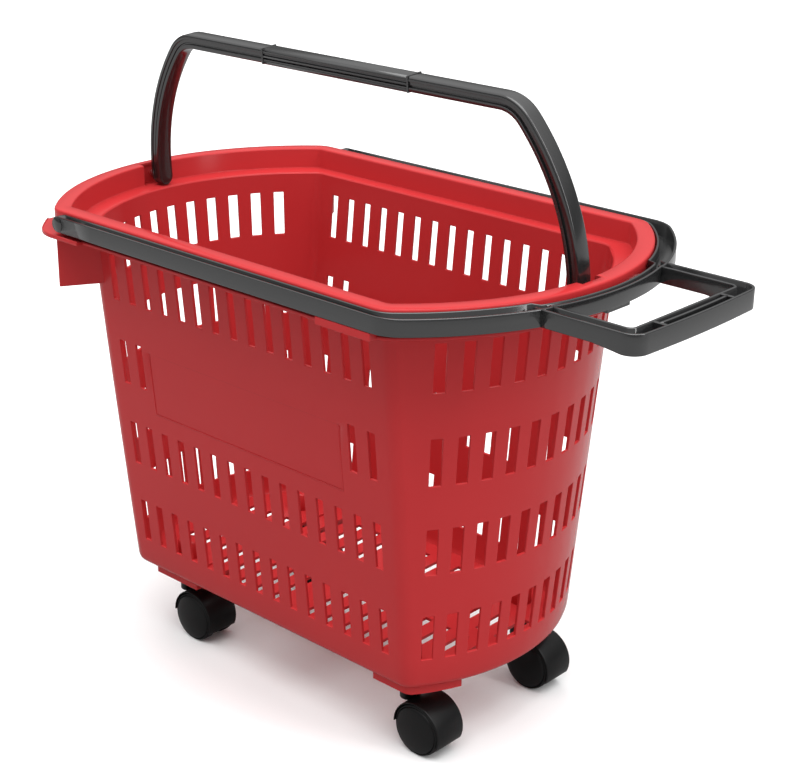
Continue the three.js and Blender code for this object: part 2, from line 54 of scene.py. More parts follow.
# ------------------------------------------------------------------ driving dimensions, mm
WALL = 2.8
FLOOR_Z = 74
EDGE_Z = 81
ROW_Z = (103.5, 186, 268.3, 350.5)
SLOT_HEIGHT = 42.5
SLOT_WIDTH = 8
SIDE_COLUMNS = 15
SIDE_PITCH = 22
END_COLUMNS = 11
END_SLOT_WIDTH = 10
END_PITCH = 23.35
END_PITCH_DRAFT = 0.01
LABEL = {"row": 2, "half_columns": 5, "half_length": 118, "bottom": 247, "top": 307}
LABEL.update({"sunk": 0.35, "edge": 0.15})

WALL_REF_Z = 350.5
WALL_REF = {"length": 238.1, "width": 138.2, "bow": 189.8, "corner": 18}
DRAFT = {"length": 0.091, "width": 0.095, "bow": 0.02, "corner": 0}
CORNER_STEPS = 8

LEDGE_Z = 412.5
RIM_TOP = 432.3
SKIRT_Z = 419
RIM = {"length": 274.7, "width": 169.7, "bow": 223, "corner": 23.2}
LIP = 15.5
FLANGE = 5.5
LUG = {"grow": 12, "from": -232, "to": -148, "depth": 14, "inner_y": 168, "bead_span": 600}
FIN = {"outer": (-190, 173), "inner_x": -170, "height": 50, "half_thickness": 1.4}
HANDLE_REST = {"x": (139, 196), "y": (160, 181.3), "top": 416.2}
HINGE_BOSS = {"radius": 6.4, "from": 156, "length": 12}
PIVOT_BLOCK = {"x": (266.3, 272.8), "half_width": 14, "top": 429.6}
POCKET = {"x": (255, 266), "rear_reach": 16, "front_reach": 9.5}

FLOOR_SLOTS = {"count": 8, "pitch": 22, "start": 8, "end": 88, "short_end": 50, "short_from": 6}
FLOOR_SLOTS.update({"margin": 8})
FLOOR_GROW = -6
CARRY = {"length": 257.5, "width": 147.2, "bow": 208, "corner": 38}
CARRY_BAR = {"width": 13, "half_depth": 8.2}
CARRY_LEAN = math.radians(5)
GRIP_HALF = 85
GRIP_GROOVE = 5
PULL_GROW = 18
PULL_SIDE_GROW = 11.8
PULL_GAP = 1.2
PULL_Z = {"bottom": 416.5, "top": 430.8, "grip_bottom": 413.5}
HINGE_Z = 423.65
PULL_START = -177
PULL_CORNER = 35
CHANNEL_FLOOR = 417.4
CROSS = {"half_width": 73, "grow": 8, "thickness": 8.3}
LOOP = {"end": 367, "half_width": 83, "open_end": 350, "open_half": 69.5, "corner": 14}
LOOP.update({"open_corner": 5, "bow": 3, "corner_end": 365, "arm": 80, "open_arm": 68})
GRIP_DROP = {"from": 325, "to": 352}
GRIP_RIB = {"half_length": 45, "from": 9.8, "to": 7.4}
GRIP_WEB = {"x": (351.5, 364), "half_thickness": 1.7, "bottom": 418, "top": 430.4}
TAB = {"x": (283, 290), "half_width": 15}

WHEEL_RADIUS = 24
HOOD = {"outer": 26, "inner": 24.7, "half_width": 17, "low": math.radians(-24)}
HOOD.update({"web_half_width": 5.6})
BLOCK = {"bottom": 65.5, "front": (131, 200), "rear": (-155, -98), "inner_y": 62, "inset": 7}
CORNERS = ("front_left", "front_right", "rear_left", "rear_right")
# Turned profiles, as (radius, distance along the axis).
STEM_SOCKET = [(0, 0), (9.4, 0), (10, 0.6), (10, 19), (8.5, 20.5), (0, 20.5)]
HOOD_BOSS = [(5.6, 62.2), (8.0, 62.2), (8.7, 61.5), (8.7, 43), (5.6, 43), (5.6, 62.2)]
TREAD = [(3.3, 6.1), (WHEEL_RADIUS - 2.2, 6.1), (WHEEL_RADIUS - 0.8, 6.8), (WHEEL_RADIUS, 8.6)]
TREAD += [(WHEEL_RADIUS, 14.2), (WHEEL_RADIUS - 0.5, 15.8), (WHEEL_RADIUS - 1.4, 16.7)]
TREAD += [(22.2, 16.7), (22.1, 13.2), (3.3, 13.2), (3.3, 6.1)]
DISC = [(0, 13.4), (21.3, 13.4), (21.7, 16.3), (21.0, 17.2), (19, 18.0)]
DISC += [(15, 19.1), (10, 20.0), (5, 20.6), (0, 20.8)]


# ------------------------------------------------------------------ materials
def shader(name, color, roughness):
    material = bpy.data.materials.new(name)
    material.use_nodes = True
    surface = material.node_tree.nodes["Principled BSDF"]
    surface.inputs["Base Color"].default_value = (*color, 1)
    surface.inputs["Roughness"].default_value = roughness
    return material, material.node_tree, surface


def node(tree, kind, **values):
    made = tree.nodes.new(kind)
    for name, value in values.items():
        if name in made.inputs:
            made.inputs[name].default_value = value
        else:
            setattr(made, name, value)
    return made


def noise(tree, scale, detail=3.0):
    place = node(tree, "ShaderNodeTexCoord")
    made = node(tree, "ShaderNodeTexNoise", Scale=scale, Detail=detail)
    tree.links.new(place.outputs["Object"], made.inputs["Vector"])
    return made


def ramp(tree, source, low, high):
    made = node(tree, "ShaderNodeValToRGB")
    made.color_ramp.elements[0].position = 0.3
    made.color_ramp.elements[1].position = 0.7
    made.color_ramp.elements[0].color = (*low, 1)
    made.color_ramp.elements[1].color = (*high, 1)
    tree.links.new(source, made.inputs["Fac"])
    return made


def moulded(name, color, roughness, spread=0.05, flow=6.0, ripple=0.03, grain=0.02):
    """Moulded plastic: slow flow marks in colour and gloss, a soft ripple and a fine grain."""
    material, tree, surface = shader(name, color, roughness)
    slow = noise(tree, flow, 4.0)
    low = tuple(channel * (1 - spread) for channel in color)
    high = tuple(min(channel * (1 + spread), 1) for channel in color)
    tone = ramp(tree, slow.outputs["Fac"], low, high)
    tree.links.new(tone.outputs["Color"], surface.inputs["Base Color"])
    gloss = node(tree, "ShaderNodeMapRange")
    gloss.inputs["To Min"].default_value = roughness * 0.8
    gloss.inputs["To Max"].default_value = roughness * 1.2
    wear = noise(tree, flow * 5, 3.0)
    tree.links.new(wear.outputs["Fac"], gloss.inputs["Value"])
    tree.links.new(gloss.outputs["Result"], surface.inputs["Roughness"])
    wide = noise(tree, 14.0, 1.0)
    fine = noise(tree, 420.0, 1.0)
    wave = node(tree, "ShaderNodeBump", Strength=ripple, Distance=0.004)
    relief = node(tree, "ShaderNodeBump", Strength=grain, Distance=0.0006)
    tree.links.new(wide.outputs["Fac"], wave.inputs["Height"])
    tree.links.new(fine.outputs["Fac"], relief.inputs["Height"])
    tree.links.new(wave.outputs["Normal"], relief.inputs["Normal"])
    tree.links.new(relief.outputs["Normal"], surface.inputs["Normal"])
    return material, surface


def red_plastic():
    color = (0.51, 0.03, 0.033)
    marks = {"spread": 0.03, "flow": 4.0, "ripple": 0.02, "grain": 0.006}
    material, surface = moulded("red_plastic", color, 0.2, **marks)
    surface.inputs["Specular IOR Level"].default_value = 0.16
    return material


def grey_plastic():
    color = (0.014, 0.0143, 0.0146)
    material, surface = moulded("grey_plastic", color, 0.16, spread=0.1, grain=0.01)
    surface.inputs["Specular IOR Level"].default_value = 0.9
    return material


def black_plastic():
    color = (0.004, 0.004, 0.0042)
    material, surface = moulded("black_plastic", color, 0.4, spread=0.2, grain=0.08)
    surface.inputs["Specular IOR Level"].default_value = 0.22
    return material


def tread_rubber():
    color = (0.007, 0.007, 0.007)
    material, surface = moulded("tread_rubber", color, 0.6, spread=0.2, grain=0.15)
    surface.inputs["Specular IOR Level"].default_value = 0.22
    return material


def zinc():
    material, surface = moulded("zinc", (0.62, 0.63, 0.64), 0.3, spread=0.08)
    surface.inputs["Metallic"].default_value = 1
    return material


RED = red_plastic()
GREY = grey_plastic()
BLACK = black_plastic()
RUBBER = tread_rubber()
ZINC = zinc()


# ------------------------------------------------------------------ mesh helpers
BOX_FACES = [(0, 1, 3, 2), (4, 6, 7, 5), (0, 4, 5, 1), (2, 3, 7, 6), (0, 2, 6, 4), (1, 5, 7, 3)]


def joint_place(name):
    """Where a joint is, in the millimetres that shapes are drawn in."""
    return (Vector(JOINTS[name]["pos_m"]) - MIDDLE) / MM


def placed(point):
    """The place in the frame of a point that is drawn in millimetres."""
    return Vector(point) * MM + MIDDLE


def make(name, vertices, faces, material, body):
    """A smooth-shaded piece from points in millimetres, riding on a body of the frame."""
    mesh = bpy.data.meshes.new(name)
    mesh.from_pydata([placed(v) for v in vertices], [], faces)
    edit = bmesh.new()
    edit.from_mesh(mesh)
    bmesh.ops.remove_doubles(edit, verts=edit.verts, dist=1e-6)
    bmesh.ops.recalc_face_normals(edit, faces=edit.faces)
    edit.to_mesh(mesh)
    edit.free()
    for face in mesh.polygons:
        face.use_smooth = True
    mesh.materials.append(material)
    piece = bpy.data.objects.new(name, mesh)
    bpy.context.scene.collection.objects.link(piece)
    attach(piece, body)
    return piece


def rounded(piece, width, segments=2, angle=35):
    bevel = piece.modifiers.new("round", "BEVEL")
    bevel.width = width * MM
    bevel.segments = segments
    bevel.limit_method = "ANGLE"
    bevel.angle_limit = math.radians(angle)
    bevel.harden_normals = True
    return piece


def skin(rings, closed_ring=True, closed_path=False, caps=False):
    """Quads between rings of equal length; returns vertices and faces."""
    count = len(rings[0])
    vertices = [point for ring in rings for point in ring]
    faces = []
    spans = len(rings) if closed_path else len(rings) - 1
    for i in range(spans):
        here = i * count
        after = ((i + 1) % len(rings)) * count
        for k in range(count if closed_ring else count - 1):
            step = (k + 1) % count
            faces.append((here + k, here + step, after + step, after + k))
    if caps:
        faces.append(tuple(range(count)))
        faces.append(tuple(range(len(vertices) - count, len(vertices))))
    return vertices, faces


def turned(name, profile, centre, axis, material, body, segments=64):
    """A body of revolution about `axis` through `centre`, from (radius, distance) points."""
    across = Vector((0, 1, 0)) if axis.x else Vector((1, 0, 0))
    rings = []
    for i in range(segments):
        turn = Matrix.Rotation(2 * math.pi * i / segments, 3, axis)
        spoke = turn @ across
        rings.append([Vector(centre) + axis * along + spoke * radius for radius, along in profile])
    vertices, faces = skin(rings, closed_ring=profile[0] == profile[-1], closed_path=True)
    return make(name, vertices, faces, material, body)


def bar(name, low, high, material, body, width=1.0):
    """A rectangular rib or block with rounded edges."""
    (x0, y0, z0), (x1, y1, z1) = low, high
    corners = [(x, y, z) for x in (x0, x1) for y in (y0, y1) for z in (z0, z1)]
    return rounded(make(name, corners, BOX_FACES, material, body), width, 3)


def cut(piece, low, high):
    """Takes a box out of a piece."""
    cutter = bar("cutter", low, high, RED, "basket", 0.8)
    tool = piece.modifiers.new("cut", "BOOLEAN")
    tool.object = cutter
    tool.operation = "DIFFERENCE"
    tool.solver = "EXACT"
    bpy.context.view_layer.update()
    evaluated = piece.evaluated_get(bpy.context.evaluated_depsgraph_get())
    result = bpy.data.meshes.new_from_object(evaluated)
    piece.modifiers.clear()
    piece.data = result
    bpy.data.objects.remove(cutter)


# ------------------------------------------------------------------ plan outlines, mm
def centres(plan, grow=0):
    """Bow radius, corner radius, bow centre x, corner centre x and y, angle where they meet."""
    bow = plan["bow"] + grow
    corner = max(plan["corner"] + grow, 0.5)
    bow_x = plan["length"] + grow - bow
    corner_y = plan["width"] + grow - corner
    corner_x = bow_x + math.sqrt((bow - corner) ** 2 - corner_y**2)
    return bow, corner, bow_x, corner_x, corner_y, math.atan2(corner_y, corner_x - bow_x)


def quarter(plan, grow=0, bow_steps=20, corner_steps=8, side_steps=5):
    """A quarter of an outline: the bowed end, the corner, then the straight side."""
    bow, corner, bow_x, corner_x, corner_y, turn = centres(plan, grow)
    points = []
    for i in range(bow_steps):
        angle = turn * i / bow_steps
        points.append((bow_x + bow * math.cos(angle), bow * math.sin(angle)))
    for i in range(corner_steps):
        angle = turn + (math.pi / 2 - turn) * i / corner_steps
        points.append((corner_x + corner * math.cos(angle), corner_y + corner * math.sin(angle)))
    for i in range(side_steps + 1):
        points.append((corner_x * (1 - i / side_steps), corner_y + corner))
    return points


def upper_half(plan, grow=0):
    right = quarter(plan, grow)
    return right + [(-x, y) for x, y in reversed(right[:-1])]


def outline(plan, grow=0):
    upper = upper_half(plan, grow)
    return upper + [(x, -y) for x, y in reversed(upper[1:-1])]


def wall_plan(z):
    return {key: WALL_REF[key] - DRAFT[key] * (WALL_REF_Z - z) for key in WALL_REF}


# ------------------------------------------------------------------ basket wall
def wall_columns():
    """Places round the wall in order, each (kind, value, sx, sy, the slot that starts there)."""
    first = []
    for k in range((END_COLUMNS - 1) // 2 + 1):
        first += [("bow", (k, -1), ("end", k)), ("bow", (k, 1), None)]
    first = first[1:]
    for i in range(CORNER_STEPS + 1):
        first.append(("corner", i / CORNER_STEPS, None))
    for c in range((SIDE_COLUMNS - 1) // 2, -1, -1):
        x = c * SIDE_PITCH
        first += [("side", x + SLOT_WIDTH / 2, ("side", c)), ("side", x - SLOT_WIDTH / 2, None)]
    edge, half_edge = LABEL["half_length"], LABEL["edge"]
    spot = next(i for i, entry in enumerate(first) if entry[0] == "side" and entry[1] < edge)
    first[spot:spot] = [("side", edge + half_edge, None), ("side", edge - half_edge, None)]
    first = first[:-1]
    columns = []
    for sx, sy in ((1, 1), (-1, 1), (-1, -1), (1, -1)):
        if sx * sy > 0:
            columns.append(("bow", (0, 0), sx, sy, ("end", 0)))
            columns += [(kind, value, sx, sy, slot) for kind, value, slot in first]
            continue
        back = first[::-1]
        for i, (kind, value, _) in enumerate(back):
            slot = back[i + 1][2] if i + 1 < len(back) else ("end", 0)
            columns.append((kind, value, sx, sy, slot))
    return columns


def column_point(column, z, grow):
    kind, value, sx, sy, _ = column
    plan = wall_plan(z)
    bow, corner, bow_x, corner_x, corner_y, turn = centres(plan, grow)
    if kind == "bow":
        pitch = END_PITCH - END_PITCH_DRAFT * (WALL_REF_Z - z)
        angle = (value[0] * pitch + value[1] * END_SLOT_WIDTH / 2) / plan["bow"]
        x, y = bow_x + bow * math.cos(angle), bow * math.sin(angle)
    elif kind == "corner":
        angle = turn + (math.pi / 2 - turn) * value
        x, y = corner_x + corner * math.cos(angle), corner_y + corner * math.sin(angle)
    else:
        x, y = value, corner_y + corner
    return sx * x, sy * y, z


def wall_rows():
    """Heights of the wall's rows as (z, inset, slot row above it)."""
    rows = [(FLOOR_Z, -6.5, None), (FLOOR_Z + 0.5, -4.2, None), (FLOOR_Z + 1.6, -2.2, None)]
    rows += [(FLOOR_Z + 3.5, -0.8, None), (EDGE_Z, 0, None)]
    for row, z in enumerate(ROW_Z):
        if row == LABEL["row"]:
            rows += [(LABEL["bottom"] + step, 0, None) for step in (-LABEL["edge"], LABEL["edge"])]
        rows.append((z, 0, row))
        if row == LABEL["row"]:
            rows += [(LABEL["top"] + step, 0, row) for step in (-LABEL["edge"], LABEL["edge"])]
        rows.append((z + SLOT_HEIGHT, 0, None))
    rows.append((LEDGE_Z - 1, 0, None))
    return rows


def is_open(slot, row):
    if slot is None or row is None:
        return False
    kind, index = slot
    return kind == "end" or row != LABEL["row"] or index > LABEL["half_columns"]


def on_label(column, z):
    kind, value = column[0], column[1]
    inside = kind == "side" and abs(value) < LABEL["half_length"]
    return inside and LABEL["bottom"] < z < LABEL["top"]


def thick(outer, inner, faces):
    """A wall with two skins, closed along every open edge of the faces between them."""
    count = len(outer)
    edges = {}
    for face in faces:
        for a, b in zip(face, face[1:] + face[:1]):
            edges[frozenset((a, b))] = None if frozenset((a, b)) in edges else (a, b)
    closed = list(faces) + [tuple(i + count for i in reversed(face)) for face in faces]
    closed += [(b, a, a + count, b + count) for a, b in filter(None, edges.values())]
    return outer + inner, closed


def basket_wall():
    columns = wall_columns()
    rows = wall_rows()
    outer = []
    inner = []
    for z, grow, _ in rows:
        for column in columns:
            sunk = LABEL["sunk"] if on_label(column, z) else 0
            outer.append(column_point(column, z, grow - sunk))
            x, y, _ = column_point(column, z, min(grow, 0) - WALL)
            inner.append((x, y, max(z, FLOOR_Z + WALL * 0.6)))
    count = len(columns)
    faces = []
    for r in range(len(rows) - 1):
        for c in range(count):
            if is_open(columns[c][4], rows[r][2]):
                continue
            step = (c + 1) % count
            here = r * count
            above = here + count
            faces.append((here + c, here + step, above + step, above + c))
    vertices, faces = thick(outer, inner, faces)
    wall = make("basket_wall", vertices, faces, RED, "basket")
    wall.data.set_sharp_from_angle(angle=math.radians(38))
    rounded(wall, 0.6, 3, 60)
    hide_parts("basket_body")
    return wall


def label_bead(side):
    """A fine raised line round the plain label panel, open at the top."""
    half_length, low, high = LABEL["half_length"], LABEL["bottom"], LABEL["top"]
    corners = [(-half_length, high), (-half_length, low), (half_length, low), (half_length, high)]
    section = [(0.6, -0.6), (0.6, 0.1), (0.25, 0.35), (-0.25, 0.35), (-0.6, 0.1), (-0.6, -0.6)]
    rings = []
    for x, z in corners:
        ring = []
        for inset, proud in section:
            up = z + inset if z == low else z
            along = x + inset if x < 0 else x - inset
            ring.append((along, side * (wall_plan(up)["width"] + proud), up))
        rings.append(ring)
    vertices, faces = skin(rings, caps=True)
    make(f"label_bead_{'left' if side > 0 else 'right'}", vertices, faces, RED, "basket")


# ------------------------------------------------------------------ basket floor
def floor_half_width(x, grow):
    """Half the width of the floor's outline at a distance x from the middle."""
    plan = wall_plan(FLOOR_Z)
    bow, corner, bow_x, corner_x, corner_y, turn = centres(plan, grow)
    x = abs(x)
    if x <= corner_x:
        return corner_y + corner
    if x <= corner_x + corner * math.cos(turn):
        return corner_y + math.sqrt(max(corner**2 - (x - corner_x) ** 2, 0))
    return math.sqrt(max(bow**2 - (x - bow_x) ** 2, 0))


def basket_floor():
    pitch = FLOOR_SLOTS["pitch"]
    reach = FLOOR_SLOTS["count"]
    edges = []
    for k in range(-reach, reach + 1):
        is_slot = k != 0
        edges.append((k * pitch - SLOT_WIDTH / 2, k if is_slot else None))
        edges.append((k * pitch + SLOT_WIDTH / 2, None))
    end = wall_plan(FLOOR_Z)["length"] + FLOOR_GROW - 0.01
    start = edges[-1][0]
    outer = [start + (end - start) * math.sin(math.pi / 2 * i / 10) for i in range(1, 11)]
    stations = [(-x, None) for x in reversed(outer)] + edges + [(x, None) for x in outer]
    ys = (FLOOR_SLOTS["start"], FLOOR_SLOTS["short_end"], FLOOR_SLOTS["end"])
    vertices = []
    for x, _ in stations:
        limit = floor_half_width(x, FLOOR_GROW)
        half_row = list(ys)
        if abs(x) > start:
            half_row = [min(y, limit * y / (ys[-1] + FLOOR_SLOTS["margin"])) for y in ys]
        half_row.append(limit)
        row = [-y for y in reversed(half_row)] + half_row
        vertices += [(x, y, FLOOR_Z + WALL) for y in row]
    count = 2 * len(ys) + 2
    faces = []
    for i, (x, slot) in enumerate(stations[:-1]):
        for k in range(count - 1):
            band = abs(k - (count - 2) // 2)
            short = slot is not None and abs(slot) >= FLOOR_SLOTS["short_from"]
            slotted = slot is not None and (band == 1 or (band == 2 and not short))
            if not slotted:
                here = i * count + k
                faces.append((here, here + 1, here + count + 1, here + count))
    floor = make("basket_floor", vertices, faces, RED, "basket")
    plate = floor.modifiers.new("thickness", "SOLIDIFY")
    plate.thickness = WALL * MM
    plate.offset = -1
    rounded(floor, 0.4)
    return floor


# ------------------------------------------------------------------ rim and what is moulded on it
def rim_section():
    """The rim's closed section, as (which outline, growth, z)."""
    top, ledge, skirt = RIM_TOP, LEDGE_Z, SKIRT_Z
    return [
        ("wall", -WALL, ledge - 8), ("wall", -WALL, ledge - 1.6),
        ("wall", -WALL + 0.5, ledge - 0.5), ("wall", -WALL + 1.6, ledge),
        ("rim", -LIP - 1.2, ledge), ("rim", -LIP - 0.3, ledge + 0.3), ("rim", -LIP, ledge + 1.2),
        ("rim", -LIP, top - 1.6), ("rim", -LIP + 0.45, top - 0.5), ("rim", -LIP + 1.6, top),
        ("rim", -1.8, top), ("rim", -0.5, top - 0.5), ("rim", 0, top - 1.8),
        ("rim", 0, skirt + 0.4), ("rim", -0.4, skirt), ("rim", -2.1, skirt),
        ("rim", -2.5, skirt + 0.4), ("rim", -2.5, top - 3),
        ("rim", -LIP + WALL, top - 3), ("rim", -LIP + WALL, ledge),
        ("rim", FLANGE - 0.8, ledge), ("rim", FLANGE, ledge - 0.6),
        ("rim", FLANGE, ledge - 2.4), ("rim", FLANGE - 0.8, ledge - 3),
        ("wall", 2.5, ledge - 3), ("wall", 0.6, ledge - 3.6),
        ("wall", 0, ledge - 5.5), ("wall", 0, ledge - 8),
    ]


def basket_rim():
    rings = []
    for which, grow, z in rim_section():
        plan = wall_plan(LEDGE_Z) if which == "wall" else RIM
        rings.append([(x, y, z) for x, y in outline(plan, grow)])
    vertices, faces = skin(rings, closed_path=True)
    rim = make("basket_rim", vertices, faces, RED, "basket")
    # The pockets at the two ends, where the legs of the carry handle stand.
    for side, reach in ((-1, POCKET["rear_reach"]), (1, POCKET["front_reach"])):
        low, high = sorted(side * x for x in POCKET["x"])
        cut(rim, (low, -POCKET["rear_reach"], LEDGE_Z + 0.05), (high, reach, RIM_TOP + 2))
    for face in rim.data.polygons:
        face.use_smooth = True
    crease = rim.modifiers.new("shade", "BEVEL")
    crease.width = 0.3 * MM
    crease.limit_method = "ANGLE"
    crease.angle_limit = math.radians(50)
    crease.harden_normals = True
    return rim


def lug_plate(side):
    """The flange is wider round the hinge of the pull handle, with a bead along its edge."""
    points = [(x, y) for x, y in upper_half(RIM, LUG["grow"]) if LUG["from"] < x < LUG["to"]]
    inner = [(x, min(y - LUG["depth"], LUG["inner_y"])) for x, y in reversed(points)]
    ring = points + inner
    rings = [[(x, side * y, z) for x, y in ring] for z in (LEDGE_Z - 2.9, LEDGE_Z + 0.1)]
    vertices, faces = skin(rings, caps=True)
    name = "left" if side > 0 else "right"
    rounded(make(f"hinge_lug_{name}", vertices, faces, RED, "basket"), 0.8, 3)
    section = [(-0.08, -1.5), (-0.08, 0.4), (-0.4, 1.0), (-1.2, 1.0), (-1.6, 0.4), (-1.6, -1.5)]
    bead = []
    for x, y in points:
        shifted = [(x * (1 - out / LUG["bead_span"]), y + out, up) for out, up in section]
        bead.append([(along, side * across, LEDGE_Z + up) for along, across, up in shifted])
    vertices, faces = skin(bead, caps=True)
    make(f"lug_bead_{name}", vertices, faces, RED, "basket")


def corner_fin(side):
    """A thin upright web from the wall to the flange, under each hinge."""
    name = f"corner_fin_{'left' if side > 0 else 'right'}"
    rings = []
    outer_x, outer_y = FIN["outer"]
    for z in (LEDGE_Z - FIN["height"], LEDGE_Z - 1):
        outer = Vector((outer_x, side * outer_y, z))
        inner = Vector((FIN["inner_x"], side * (wall_plan(z)["width"] - 1.5), z))
        along = inner - outer
        across = Vector((-along.y, along.x, 0)).normalized() * FIN["half_thickness"]
        rings.append([outer - across, inner - across, inner + across, outer + across])
    vertices, faces = skin(rings, caps=True)
    return rounded(make(name, vertices, faces, RED, "basket"), 0.9, 3)


def rim_details():
    """What is moulded on the rim: lugs, fins, handle rests, hinge bosses and pivot blocks."""
    for side, name in ((1, "left"), (-1, "right")):
        lug_plate(side)
        corner_fin(side)
        (x0, x1), (y0, y1) = HANDLE_REST["x"], sorted(side * y for y in HANDLE_REST["y"])
        low, high = (x0, y0, LEDGE_Z - 3), (x1, y1, HANDLE_REST["top"])
        bar(f"handle_rest_{name}", low, high, RED, "basket", 0.8)
        radius, length = HINGE_BOSS["radius"], HINGE_BOSS["length"]
        profile = [(0, 0), (radius, 0), (radius, length), (0, length)]
        centre = (PULL_START, side * HINGE_BOSS["from"], HINGE_Z)
        turned(f"hinge_boss_{name}", profile, centre, Vector((0, side, 0)), RED, "basket")
    for side, name in ((1, "front"), (-1, "rear")):
        near, far = sorted(side * x for x in PIVOT_BLOCK["x"])
        half_width, top = PIVOT_BLOCK["half_width"], PIVOT_BLOCK["top"]
        low, high = (near, -half_width, LEDGE_Z - 0.5), (far, half_width, top)
        bar(f"pivot_block_{name}", low, high, RED, "basket", 0.6)


# ------------------------------------------------------------------ caster blocks under the floor
def caster_blocks():
    plan = wall_plan(FLOOR_Z)
    inset = BLOCK["inset"]
    bow, _, bow_x, *_ = centres(plan, -inset)
    end = bow_x + math.sqrt(bow**2 - BLOCK["inner_y"] ** 2) - 0.01
    for name in CORNERS:
        x0, x1 = BLOCK["front"] if "front" in name else BLOCK["rear"]
        x1 = min(x1, end)
        side = 1 if "left" in name else -1
        xs = [x0 + (x1 - x0) * i / 24 for i in range(25)]
        edge = [(x, floor_half_width(x, -inset)) for x in xs]
        ring = edge + [(x, BLOCK["inner_y"] - 0.1) for x in reversed(xs)]
        rings = [[(x, side * y, z) for x, y in ring] for z in (BLOCK["bottom"], FLOOR_Z + 1)]
        vertices, faces = skin(rings, caps=True)
        rounded(make(f"caster_block_{name}", vertices, faces, RED, "basket"), 1.0, 3, 50)
        stem = joint_place(f"swivel_{name}")
        centre = (stem.x, stem.y, FLOOR_Z + 0.5)
        turned(f"stem_socket_{name}", STEM_SOCKET, centre, Vector((0, 0, 1)), RED, "basket")


# ------------------------------------------------------------------ carry handle
def leaned(x, height, depth):
    """From the flat drawing of the carry handle to its place."""
    pivot = (CARRY_PIVOT - MIDDLE) / MM
    y = depth * math.cos(CARRY_LEAN) - height * math.sin(CARRY_LEAN)
    z = height * math.cos(CARRY_LEAN) + depth * math.sin(CARRY_LEAN)
    return x, y, z + pivot.z


def carry_section():
    """(radial, depth) points round the bar, with a stepped groove along each flat side."""
    edge, deep = CARRY_BAR["width"] / 2, CARRY_BAR["half_depth"]
    side = [(edge, deep - 1.9), (edge - 0.5, deep - 0.7), (edge - 1.7, deep)]
    side += [(2.6, deep), (2.3, deep - 0.9), (-0.6, deep - 1.1), (-1.0, deep - 2.2)]
    side += [(-2.2, deep - 2.2), (-2.5, deep), (-edge + 1.4, deep)]
    side += [(-edge + 0.4, deep - 0.5), (-edge, deep - 1.4)]
    return side + [(radial, -depth) for radial, depth in reversed(side)]


def leg_end(section, side):
    """The rings that round off a leg below its pivot, from the tip up."""
    middle = CARRY["length"] - CARRY_BAR["width"] / 2
    rings = []
    for drop in (1.0, 0.985, 0.9, 0.75, 0.55, 0.3):
        squeeze = math.sqrt(1 - drop**2)
        height = -CARRY_BAR["half_depth"] * drop
        rings.append([leaned(side * (middle + r), height, d * squeeze) for r, d in section])
    return rings


def carry_rings(section):
    """Sections along the bow of the handle, from the front pivot over to the rear one."""
    half_width = CARRY_BAR["width"] / 2
    paths = [upper_half(CARRY, radial - half_width) for radial, _ in section]
    rings = leg_end(section, 1)
    for i in range(len(upper_half(CARRY))):
        rings.append([leaned(path[i][0], path[i][1], d) for path, (_, d) in zip(paths, section)])
    return rings + leg_end(section, -1)[::-1]


def carry_handle():
    vertices, faces = skin(carry_rings(carry_section()), caps=True)
    handle = make("carry_bail", vertices, faces, GREY, "carry_bail")
    rounded(handle, 0.25, 2, 40)
    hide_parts("carry_handle")


def grip_sleeve():
    """The sleeve on the middle of the handle: bevelled top, two long grooves on each flat side."""
    edge = CARRY_BAR["width"] / 2 + 0.5
    deep = CARRY_BAR["half_depth"] + 0.5
    floor = deep - GRIP_GROOVE
    side = [(edge, deep - 3.2), (edge - 0.8, deep - 1.3), (edge - 2.2, deep - 0.2)]
    side += [(edge - 2.6, deep), (3.8, deep), (3.5, floor), (1.0, floor), (0.7, deep)]
    side += [(-0.8, deep), (-1.1, floor), (-3.6, floor), (-3.9, deep)]
    side += [(-edge + 1.0, deep), (-edge, deep - 1.0)]
    section = side + [(radial, -depth) for radial, depth in reversed(side)]
    middle = CARRY["width"] - CARRY_BAR["width"] / 2
    reach = GRIP_HALF - 0.3
    rings = []
    for x, scale in ((-reach, 0.94), (-reach + 0.7, 1), (reach - 0.7, 1), (reach, 0.94)):
        rings.append([leaned(x, middle + r * scale, d * scale) for r, d in section])
    vertices, faces = skin(rings, caps=True)
    sleeve = rounded(make("grip_sleeve", vertices, faces, GREY, "carry_bail"), 0.2, 2, 40)
    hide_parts("carry_grip_sleeve")
    proud = 0.15
    for end in (-1, 1):
        x0, x1 = sorted((end * (reach - 0.4), end * (reach + 1.4)))
        corners = []
        for x in (x0, x1):
            for radial in (-edge - proud, edge + proud):
                corners += [(x, middle + radial, depth) for depth in (-deep - proud, deep + proud)]
        vertices = [leaned(*corner) for corner in corners]
        name = f"grip_collar_{'front' if end > 0 else 'rear'}"
        collar = make(name, vertices, BOX_FACES, GREY, "carry_bail")
        rounded(collar, 0.5, 3)


# ------------------------------------------------------------------ pull handle
def blend_step(value, start, end):
    """0 before start, 1 after end, and a smooth rise between."""
    t = min(max((value - start) / (end - start), 0), 1)
    return t * t * (3 - 2 * t)


